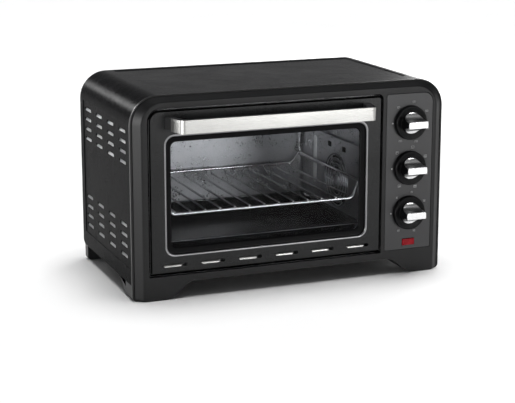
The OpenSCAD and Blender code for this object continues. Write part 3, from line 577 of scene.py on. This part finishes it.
def build_door():
    bm = bmesh.new()
    top = door_hi.z
    edge_r, back_chamfer = 0.9, 9.4

    def outline(y):
        """The door's outline at a depth: rolled front edge, round lower edge, small chamfer behind."""
        bottom = HINGE_Z - math.sqrt(max(0.0, HINGE_R ** 2 - (y * MM - HINGE_R) ** 2))
        inset = edge_r * (1 - math.sqrt(max(0.0, 1 - (1 - min(y, edge_r) / edge_r) ** 2)))
        if y > back_chamfer:
            inset = max(inset, (y - back_chamfer) * 0.6)
        high = top - inset * MM
        return ring_at(bm, rect_loop(DOOR_X, (high + bottom) / 2, DOOR_W - 2 * inset * MM, high - bottom,
                                     [r * MM for r in DOOR_RADII]), F + y * MM)

    rings = [outline(y)
             for y in (0, 0.06, 0.22, 0.5, 0.9, 1.4, 2, 2.8, 3.8, 5, 6.2, 7.2, 8, 8.8, 9.4, 9.8, 10)]
    loft(bm, rings)
    inner = [window_ring(bm, g, y)
             for g, y in ((9.7, 0), (9.1, 0.1), (8.5, 0.42), (8.05, 0.95), (7.75, 1.6), (7.3, 3.2),
                          (6.9, 3.9), (6.2, 4.35), (5.2, 4.5), (0.9, 4.6), (0.3, 4.8), (0, 5.3), (0, 6),
                          (4.3, 6), (4.3, 10))]
    loft(bm, inner)
    slots_front, slots_back = [], []
    for x in SLOT_XS:
        loops = []
        for g, y in ((0.5, 0), (0.15, 0.12), (0, 0.5), (0, 10)):
            loop = stadium_loop(x, SLOT_Z, SLOT_LENGTH + 2 * g * MM, SLOT_H + 2 * g * MM)
            loops.append(ring_at(bm, loop, F + y * MM))
        loft(bm, loops)
        slots_front.append(loops[0])
        slots_back.append(loops[-1])
    fill(bm, rings[0], inner[0], *slots_front)
    fill(bm, rings[-1], inner[-1], *slots_back)
    finish_piece("door_panel", bm, M["door_paint"], "door", ["door_frame"], deg=40)


def build_gap_shade_sheet():
    """Black sheet over the door's rolled edges and round its lower edge: painted shade that widens the shadow
    gap round the door.
    """
    bm = bmesh.new()
    loops = []
    for inset, y in ((0.1, 0.9), (0.3, 0.3), (0.75, -0.02), (1.0, -0.06), (2.8, -0.06), (3.0, 0.05),
                     (1.4, 0.5)):
        low, high = HINGE_Z - 0.6 * MM, door_hi.z - inset * MM
        loops.append(ring_at(bm, rect_loop(DOOR_X, (low + high) / 2, DOOR_W - 2 * inset * MM, high - low,
                                           [max(0.4, r - inset) * MM for r in DOOR_RADII]), F + y * MM))
    loft(bm, loops + [loops[0]])
    rows = []
    r, margin = HINGE_R + 0.1 * MM, 0.8 * MM
    for k in range(12):
        a = math.radians(18 + 84 * k / 11)
        rows.append([(x, F + HINGE_R - r * math.cos(a), HINGE_Z - r * math.sin(a))
                     for x in (door_lo.x + margin, door_hi.x - margin)])
    sheet(bm, rows, 0.15 * MM)
    finish_piece("gap_shade_sheet", bm, M["gap_shade_sheet"], "door", weighted=False)


def build_slot_lips():
    """A bright lip in each slot, open at its right end."""
    bm = bmesh.new()
    rise, depth, first_y, open_end = 4.5 * MM, 3.4 * MM, 0.9 * MM, 6.5 * MM
    for x in SLOT_XS:
        rows = []
        for k in range(7):
            s = k / 6
            y = F + first_y + depth * (1 - math.cos(s * math.pi / 2))
            z = SLOT_Z - rise / 2 + rise * math.sin(s * math.pi / 2)
            half = (16.6 - 2.0 * abs(2 * s - 1) ** 3) * MM
            x0, x1 = x - half, x + half - open_end
            rows.append([(x0 + (x1 - x0) * i / 6, y, z) for i in range(7)])
        sheet(bm, rows, 0.4 * MM)
    finish_piece("door_slot_lips", bm, M["slot_lip"], "door", weighted=False)


def build_window_band(name, profile):
    """A band round the window, through (growth, depth) points of its closed section."""
    bm = bmesh.new()
    loops = [window_ring(bm, grow, y) for grow, y in profile]
    loft(bm, loops + [loops[0]])
    finish_piece(name, bm, M[name], "door")


build_door()
build_gap_shade_sheet()
build_slot_lips()
# the rounded lip at the mouth of the recess, steel as a painted highlight, and the black band inside it:
# printed on the glass's edge, painted shade over the recess floor and walls
build_window_band("window_edge", ((6.9, 1.9), (7.0, 0.9), (7.4, 0.25), (8.2, -0.12), (9.1, -0.18),
                                  (9.7, 0.06), (9.2, 1.9)))
build_window_band("window_mask", ((-1.3, 5.95), (-1.3, 5.75), (0.1, 5.0), (0.6, 4.35), (5.0, 4.2),
                                  (6.4, 3.8), (6.9, 3.0), (7.0, 2.0), (7.6, 2.2), (7.4, 3.4), (6.8, 4.4),
                                  (5.2, 4.8), (0.6, 5.3)))
refine("door_glass", 0.35, 2, 40)
refine("glass_gasket", 0.15, 1, 40)
refine("door_inner_frame", 0.25, 2, 40)


# ---------------------------------------------------------------- handle
def handle_path(inset, y_end, r, n=14):
    """The handle's outer line in mm at an inset, from its left end round to its right one."""
    front_half, foot_half, reach = 142.5, 152.4, 40.0
    slope = (foot_half - front_half) / reach

    def side(y):
        return foot_half + slope * y - inset * math.sqrt(1 + slope * slope)

    front = -reach + inset
    corners = [(-side(y_end), y_end), (-side(front), front), (side(front), front), (side(y_end), y_end)]
    pts = [corners[0]]
    for a, b, c in zip(corners, corners[1:], corners[2:]):
        a, b, c = Vector(a), Vector(b), Vector(c)
        u, w = (a - b).normalized(), (c - b).normalized()
        half = math.acos(max(-1, min(1, u.dot(w)))) / 2
        centre = b + (u + w).normalized() * r / math.sin(half)
        p, q = b + u * r / math.tan(half) - centre, b + w * r / math.tan(half) - centre
        start = math.atan2(p.y, p.x)
        sweep = math.atan2(p.x * q.y - p.y * q.x, p.dot(q))
        angles = [start + sweep * i / n for i in range(n + 1)]
        pts += [tuple(centre + r * Vector((math.cos(t), math.sin(t)))) for t in angles]
    return pts + [corners[-1]]


def build_handle():
    """The steel band: a section with round edges, swept along the handle's line."""
    cx, cz = (band_lo.x + band_hi.x) / 2, (band_lo.z + band_hi.z) / 2
    half_h = (band_hi.z - band_lo.z) / 2 / MM
    thick, edge, bend, y_end = 1.2, 0.35, 8, -15
    # (inset, height) from the outer face over the edge to the inner face, then mirrored
    upper = [(0.0, half_h - edge), (0.1, half_h - edge * 0.3), (edge, half_h), (thick - edge * 0.6, half_h),
             (thick, half_h - edge * 0.6)]
    bm = bmesh.new()
    lines = []
    for inset, z in upper + [(i, -z) for i, z in reversed(upper)]:
        lines.append([bm.verts.new((cx + x * MM, F + y * MM, cz + z * MM))
                      for x, y in handle_path(inset, y_end, bend - inset)])
    for a, b in zip(lines, lines[1:] + lines[:1]):
        for k in range(len(a) - 1):
            bm.faces.new((a[k], a[k + 1], b[k + 1], b[k]))
    bm.faces.new([line[0] for line in lines])
    bm.faces.new([line[-1] for line in reversed(lines)])
    finish_piece("handle_strip", bm, M["handle_steel"], "door", ["handle_band"], deg=50)
    refine("handle_core", 0.5, 3, 35)


build_handle()


# ---------------------------------------------------------------- screws
def screw_spans(name, axis):
    """(middle of the head's top, length) of each solid of a CAD node of screws along an axis."""
    bm = cad_mesh(name)
    k = [abs(c) for c in axis].index(1)
    found = []
    for group in islands(bm):
        lo = [min(v.co[i] for v in group) for i in range(3)]
        hi = [max(v.co[i] for v in group) for i in range(3)]
        top = Vector([(a + b) / 2 for a, b in zip(lo, hi)])
        top[k] = hi[k] if axis[k] > 0 else lo[k]
        found.append((top, hi[k] - lo[k]))
    bm.free()
    return found


def screw_profile(head_r, head_h, length):
    """(radius, distance from the head's top) of a pan-head screw with a ridged shank."""
    shank, pitch = min(head_r * 0.46, 1.55 * MM), 0.6 * MM
    prof = [(0, -length), (shank * 0.7, -length), (shank, -length + 0.5 * MM)]
    t = -length + 0.9 * MM
    while t < -head_h - 0.7 * MM:
        prof += [(shank, t), (shank * 0.84, t + pitch / 2)]
        t += pitch
    return prof + [(shank, -head_h), (head_r * 0.97, -head_h), (head_r, -head_h * 0.8),
                   (head_r * 0.97, -head_h * 0.45), (head_r * 0.8, -head_h * 0.16),
                   (head_r * 0.52, -head_h * 0.03), (head_r * 0.5, 0), (0, 0)]


def cross_recess(bm, top, d, head_r, head_h):
    """Two crossed tapering blades that cut the recess of one head."""
    u = d.orthogonal().normalized()
    v = d.cross(u)
    long, short, deep, above = head_r * 0.5, head_r * 0.11, head_h * 0.62, 0.3 * MM
    for p, q in ((u, v), (v, u)):
        vs = [bm.verts.new(top + p * sx * half + q * sy * short + d * h)
              for half, h in ((long, above), (long * 0.3, -deep))
              for sx, sy in ((-1, -1), (1, -1), (1, 1), (-1, 1))]
        for f in ((0, 1, 2, 3), (7, 6, 5, 4), (0, 4, 5, 1), (1, 5, 6, 2), (2, 6, 7, 3), (3, 7, 4, 0)):
            bm.faces.new([vs[i] for i in f])


def cut_away(ob, bm):
    """Cuts a bmesh out of a piece."""
    bmesh.ops.recalc_face_normals(bm, faces=bm.faces)
    me = bpy.data.meshes.new("cutter")
    bm.to_mesh(me)
    bm.free()
    tool = bpy.data.objects.new("cutter", me)
    bpy.context.scene.collection.objects.link(tool)
    m = ob.modifiers.new("cut", "BOOLEAN")
    m.operation = "DIFFERENCE"
    m.object = tool
    m.solver = "EXACT"
    m.use_self = True
    whole = ob.data
    ob.data = bpy.data.meshes.new_from_object(ob.evaluated_get(bpy.context.evaluated_depsgraph_get()))
    ob.modifiers.remove(m)
    bpy.data.meshes.remove(whole)
    bpy.data.objects.remove(tool)
    smooth(ob.data, 40)


def build_screws(name, axis, head_r, head_h):
    """Pan-head screws with a cross recess, one for each solid of a CAD node."""
    d = Vector(axis)
    screws, recesses = bmesh.new(), bmesh.new()
    for top, length in screw_spans(name, axis):
        lathe(screws, top, d, screw_profile(head_r, head_h, length), 28)
        cross_recess(recesses, top, d, head_r, head_h)
    ob = finish_piece("vis_" + name, screws, M["screw_steel"], NODES[name]["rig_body"], [name],
                      deg=40, weighted=False)
    cut_away(ob, recesses)


build_screws("back_screws", (0, 1, 0), 3.6 * MM, 1.8 * MM)
build_screws("base_screws", (0, 0, -1), 3.6 * MM, 1.8 * MM)
build_screws("inner_frame_screws", (0, 1, 0), 2.6 * MM, 1.2 * MM)
build_screws("handle_screws", (0, 1, 0), 3.2 * MM, 1.9 * MM)


def bore_bezel():
    """Bores for the two hinge bushes, in the jambs of the door opening."""
    bm = bmesh.new()
    for side, inward in (("left", 1), ("right", -1)):
        lo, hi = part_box("hinge_bush_" + side)
        half, r = (hi.x - lo.x) / 2, (hi.z - lo.z) / 2
        lathe(bm, (lo + hi) / 2, (inward, 0, 0), [(0, -half), (r, -half), (r, half + MM), (0, half + MM)], 40)
    cut_away(bezel, bm)


bore_bezel()


# ---------------------------------------------------------------- everything else, from its CAD solid
# the back panel takes the lighter copy of the powder coat, painted light
refine("back_panel", 0.18, 2, 38, mat=M["rear_paint"])
for n in ("base_panel", "front_frame", "cavity_top_wall", "cavity_floor", "cavity_back_wall",
          "terminal_block", "hinge_bush_left", "hinge_bush_right", "hinge_pin_left", "hinge_pin_right",
          "fan_shaft", "thermostat_shaft", "function_shaft", "timer_shaft"):
    refine(n, 0.18, 2, 38)
# fan housing and blade in near-black steel: painted shade behind the grille's slots
for n in ("fan_housing", "fan_blade"):
    refine(n, 0.18, 2, 38, mat=M["fan_steel"])
for n in ("rear_foot_left", "rear_foot_right"):
    refine(n, 0.9, 3, 35)
for n in ("cavity_left_wall", "cavity_right_wall"):
    refine(n, 0.3, 2, 38)
for n in ("crumb_tray", "baking_tray"):
    refine(n, 0.35, 3, 38)
for n in ("upper_front_element", "upper_rear_element", "lower_front_element", "lower_rear_element",
          "element_insulators"):
    refine(n, 0.3, 2, 40)
for n in ("fan_motor", "thermostat", "function_switch", "timer", "indicator_lamp", "cable_gland"):
    refine(n, 0.5, 3, 38)
refine("indicator_lens", 0.9, 3, 35)
for n in ("thermostat", "function", "timer"):
    refine(n + "_knob", 0.3, 3, 40)
    refine(n + "_knob_trim", 0.25, 2, 40)


# ---------------------------------------------------------------- wire rack
def build_rack():
    """Two bent wires across, a rail at each side and the cross wires bent up at the back."""
    lo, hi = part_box("wire_rack")
    rail_lo, rail_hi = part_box("rack_rail_left")
    wire_r, cross_r, bead = 2 * MM, 1.5 * MM, 2.16 * MM
    y0, y1, z0, z1 = lo.y + bead, hi.y - bead, lo.z + bead, hi.z - bead
    half, rail_x, rail_z = DOOR_X - lo.x - bead, DOOR_X - rail_lo.x - wire_r, rail_hi.z - wire_r
    shoulder = rail_x - 4 * MM
    bm = bmesh.new()
    for y, z in ((y0, z0), (y1, z1)):
        pts = [(DOOR_X + x, y, h) for x, h in ((-rail_x, rail_z), (-shoulder, rail_z), (-half, z), (half, z),
                                               (shoulder, rail_z), (rail_x, rail_z))]
        tube(bm, fillet(pts, 6 * MM), wire_r)
    for x in (DOOR_X - rail_x, DOOR_X + rail_x):
        tube(bm, [(x, rail_lo.y, rail_z), (x, rail_hi.y, rail_z)], wire_r)
    z = z0 + wire_r + cross_r - 0.3 * MM
    reach = half - 4 * MM
    for i in range(13):
        x = DOOR_X + reach * (i / 6 - 1)
        pts = [(x, y0 - 2 * MM, z), (x, y1 - 6 * MM, z), (x, y1, z1)]
        tube(bm, fillet(pts, 3 * MM, 4), cross_r, 12)
    finish_piece("rack", bm, M["rack_chrome"], "rack",
                 ["wire_rack", "rack_rail_left", "rack_rail_right"], deg=60, weighted=False)


build_rack()


# ---------------------------------------------------------------- cavity corners, wall bead as painted reflection, fan rims in painted shade
def build_cavity_corner(side, x):
    """The rounded upright corner at the back of the cavity, on one side."""
    back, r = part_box("cavity_back_wall")[0].y, 9 * MM
    z0, z1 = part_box("cavity_floor")[1].z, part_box("cavity_top_wall")[0].z
    bm = bmesh.new()
    rows = [[(x - side * r * (1 - sn), back - r * (1 - c), z) for z in (z0, z1)] for c, sn in quarter(8)]
    sheet(bm, rows[::-1], 0.2 * MM)
    finish_piece("cavity_corner_" + ("right" if side > 0 else "left"), bm, M["cavity_steel"], "cabinet",
                 weighted=False)


def build_wall_bead():
    """The upright bead on the right wall, near-white as a painted reflection of a lamp."""
    y, z, w, h = F + 191 * MM, 138 * MM, 12, 74
    bm = bmesh.new()
    rings = []
    for grow, out in ((0, 0), (-0.5, 0.5), (-1.4, 0.9), (-2.8, 1.15), (-4.5, 1.25)):
        loop = rect_loop(y, z, (w + 2 * grow) * MM, (h + 2 * grow) * MM, [(w / 2 + grow) * MM] * 4, 8)
        rings.append([bm.verts.new((CAVITY_RIGHT - out * MM, p, q)) for p, q in loop])
    loft(bm, rings)
    bm.faces.new(rings[-1])
    finish_piece("wall_bead", bm, M["wall_bead"], "cabinet")


def build_fan_rims():
    """Raised rims between the arc-shaped air slots of the fan grille, coloured darker than the wall's steel
    as painted shade.
    """
    lo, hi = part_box("fan_housing")
    centre = Vector((CAVITY_RIGHT, (lo.y + hi.y) / 2, (lo.z + hi.z) / 2))
    across, up, into = Vector((0, 1, 0)), Vector((0, 0, 1)), Vector((-1, 0, 0))
    section = ((-1.3, 0), (-1.0, 0.8), (-0.35, 1.3), (0.35, 1.3), (1.0, 0.8), (1.3, 0))
    bm = bmesh.new()
    for r in (8.3, 15.75, 23.75, 31.75, 39.7):
        loft(bm, [circle(bm, centre + into * h * MM, across, up, (r + g) * MM, 72) for g, h in section])
    finish_piece("fan_rims", bm, M["fan_rim"], "cabinet", weighted=False, recalc=False)


build_cavity_corner(-1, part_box("cavity_left_wall")[0].x + SHEET)
build_cavity_corner(1, CAVITY_RIGHT)
build_wall_bead()
build_fan_rims()


def build_tray_edge():
    """Rolled edge round the rim of the baking tray."""
    lo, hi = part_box("baking_tray")
    mid, r, corner = (lo + hi) / 2, 0.9 * MM, 8 * MM
    w, d, z = hi.x - lo.x - 2 * r, hi.y - lo.y - 2 * r, hi.z - r
    bm = bmesh.new()
    loops = []
    for k in range(8):
        a = 2 * math.pi * k / 8
        out, up = r * math.cos(a), r * math.sin(a)
        loop = rect_loop(mid.x, mid.y, w + 2 * out, d + 2 * out, [corner + out] * 4, 8)
        loops.append([bm.verts.new((x, y, z + up)) for x, y in loop])
    loft(bm, loops + [loops[0]])
    finish_piece("tray_edge", bm, M["tray_edge"], "cabinet", weighted=False)


build_tray_edge()


# ---------------------------------------------------------------- printed marks round the controls
# a digit's strokes, and each stroke's ends in units of a quarter of the digit's height
SEGMENTS = {"0": "abcdef", "1": "bc", "2": "abged", "3": "abgcd", "4": "fgbc", "5": "afgcd", "6": "afgedc",
            "7": "abc", "8": "abcdefg", "9": "abcdfg"}
STROKES = {"a": (-1, 2, 1, 2), "b": (1, 2, 1, 0), "c": (1, 0, 1, -2), "d": (-1, -2, 1, -2),
           "e": (-1, 0, -1, -2), "f": (-1, 2, -1, 0), "g": (-1, 0, 1, 0)}
DIAL_LABELS = {"thermostat": ("100", "130", "160", "180", "200", "230"), "function": (),
               "timer": ("10", "20", "30", "40", "50", "60")}
ICON_BARS = ((1.0,), (-1.0,), (1.0, -1.0), (0.0,), (1.0, 0.0), (-1.0, 0.0))
DOT_RING_R, LABEL_RING_R, DIGIT_UNIT = 27.6 * MM, 30 * MM, 0.62 * MM


def build_marks():
    """A dot at each zero, then numbers or oven symbols every 50 degrees."""
    bm = bmesh.new()
    y0, y1 = F - 0.05 * MM, F + 0.02 * MM

    def plate(points):
        rings = [[bm.verts.new((x, y, z)) for x, z in points] for y in (y1, y0)]
        loft(bm, rings)
        for ring in rings:
            bm.faces.new(ring)

    def stroke(xa, za, xb, zb, width):
        a, b = Vector((xa, za)), Vector((xb, zb))
        d = (b - a).normalized() * width / 2
        n = Vector((-d.y, d.x))
        plate([tuple(p) for p in (a - d - n, b + d - n, b + d + n, a - d + n)])

    def dot(x, z, r):
        angles = [2 * math.pi * k / 16 for k in range(16)]
        plate([(x + r * math.cos(a), z + r * math.sin(a)) for a in angles])

    def number(text, x, z, unit):
        for i, c in enumerate(text):
            cx = x + (i - (len(text) - 1) / 2) * 3.2 * unit
            for g in SEGMENTS[c]:
                xa, za, xb, zb = STROKES[g]
                stroke(cx + xa * unit, z + za * unit, cx + xb * unit, z + zb * unit, 0.5 * unit)

    def icon(x, z, bars):
        w, h, bar = 2.2 * MM, 1.7 * MM, 1.2 * MM
        corners = [(x - w, z - h), (x + w, z - h), (x + w, z + h), (x - w, z + h)]
        for a, b in zip(corners, corners[1:] + corners[:1]):
            stroke(*a, *b, 0.35 * MM)
        for level in bars:
            stroke(x - bar, z + level * MM, x + bar, z + level * MM, 0.5 * MM)

    for name, labels in DIAL_LABELS.items():
        lo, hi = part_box(name + "_shaft")
        mid = (lo + hi) / 2
        dot(mid.x - DOT_RING_R, mid.z, 1.1 * MM)
        for k in range(6):
            a = math.radians(130 - 50 * k)
            x, z = mid.x + LABEL_RING_R * math.cos(a), mid.z + LABEL_RING_R * math.sin(a)
            if labels:
                number(labels[k], x, z, DIGIT_UNIT)
            else:
                icon(x, z, ICON_BARS[k])
    finish_piece("dial_marks", bm, M["print"], "cabinet", weighted=False)


build_marks()

# ---------------------------------------------------------------- floor, light and camera
floor_me = bpy.data.meshes.new("floor")
floor_me.from_pydata([(-30, -12, 0), (30, -12, 0), (30, 60, 0), (-30, 60, 0)], [], [(0, 1, 2, 3)])
floor = bpy.data.objects.new("floor", floor_me)
bpy.context.scene.collection.objects.link(floor)
floor_me.materials.append(material("pale_floor", (0.86, 0.86, 0.86), 0.9, spec=0.1, vary=0.01, scale=3,
                                   fine=60, bump=0.01))

world = bpy.data.worlds.new("soft_world")
bpy.context.scene.world = world
world.use_nodes = True
nt = world.node_tree
nt.nodes.clear()
out = node(nt, "ShaderNodeOutputWorld")
bg = node(nt, "ShaderNodeBackground", {"Strength": 1.0})
tc = node(nt, "ShaderNodeTexCoord")
sep = node(nt, "ShaderNodeSeparateXYZ")
ramp = node(nt, "ShaderNodeValToRGB")
nt.links.new(tc.outputs["Generated"], sep.inputs[0])
nt.links.new(sep.outputs["Z"], ramp.inputs["Fac"])
nt.links.new(ramp.outputs["Color"], bg.inputs["Color"])
nt.links.new(bg.outputs[0], out.inputs["Surface"])
# brightness against height: a bright band near the horizon, dark above it, and a soft top
cr = ramp.color_ramp
cr.elements[0].position = 0.0
cr.elements[0].color = (0.4, 0.4, 0.41, 1)
cr.elements[1].position = 1.0
cr.elements[1].color = (0.3, 0.3, 0.3, 1)
for pos, v in ((0.12, 0.36), (0.2, 0.34), (0.33, 0.03), (0.5, 0.05), (0.75, 0.2)):
    cr.elements.new(pos).color = (v, v, v * 1.01, 1)


def lamp(name, kind, loc, target, power, size, glossy=True, diffuse=True):
    """A lamp that the camera doesn't see; size is (width, height) in metres, or a sun's angle."""
    li = bpy.data.lights.new(name, kind)
    li.energy = power
    if kind == "AREA":
        li.shape = "RECTANGLE"
        li.size, li.size_y = size
    else:
        li.angle = size
    ob = bpy.data.objects.new(name, li)
    ob.location = loc
    ob.rotation_euler = (Vector(target) - Vector(loc)).to_track_quat("-Z", "Y").to_euler()
    ob.visible_glossy = glossy
    ob.visible_diffuse = diffuse
    ob.visible_camera = False
    bpy.context.scene.collection.objects.link(ob)


lamp("sky", "SUN", (0.2, 0.05, 2.6), (0, 0, 0), 3.2, size=math.radians(36), glossy=False)
lamp("overhead", "AREA", (0.2, -0.9, 2.4), (0, 0, 0.1), 1.8, (1.6, 0.9), diffuse=False)
lamp("back_strip", "AREA", (1.1, 2.8, 0.8), (0, 0, 0.28), 1.8, (3.2, 0.42), diffuse=False)
lamp("back_left", "AREA", (-1.15, 2.8, 1.1), (-0.1, 0, 0.25), 24, (0.6, 0.55), diffuse=False)
lamp("rear_fill", "AREA", (1.9, 1.9, 0.8), (0, 0, 0.14), 24, (1.2, 0.9))
lamp("left_low", "AREA", (-1.9, 1.2, 0.24), (-0.2, -0.1, 0.24), 34, (0.7, 0.45), diffuse=False)
lamp("front_left", "AREA", (-1.5, -1.15, 0.3), (0, -0.1, 0.15), 24, (0.9, 0.6), diffuse=False)
lamp("front_right", "AREA", (1.1, -2.6, 0.34), (0.1, 0, 0.2), 17, (0.9, 0.6), diffuse=False)

cam = bpy.data.cameras.new("camera")
cam.sensor_width = 36
cam.lens = 102.27
cam.shift_y = -0.0417
cam.clip_start = 0.05
cam.clip_end = 200
cam_ob = bpy.data.objects.new("camera", cam)
cam_ob.location = (-0.78614, -1.94398, 0.59586)
cam_ob.rotation_euler = (math.pi / 2 - 0.218919, 0, -0.380189)
bpy.context.scene.collection.objects.link(cam_ob)
bpy.context.scene.camera = cam_ob
bpy.context.scene.view_settings.view_transform = "Standard"
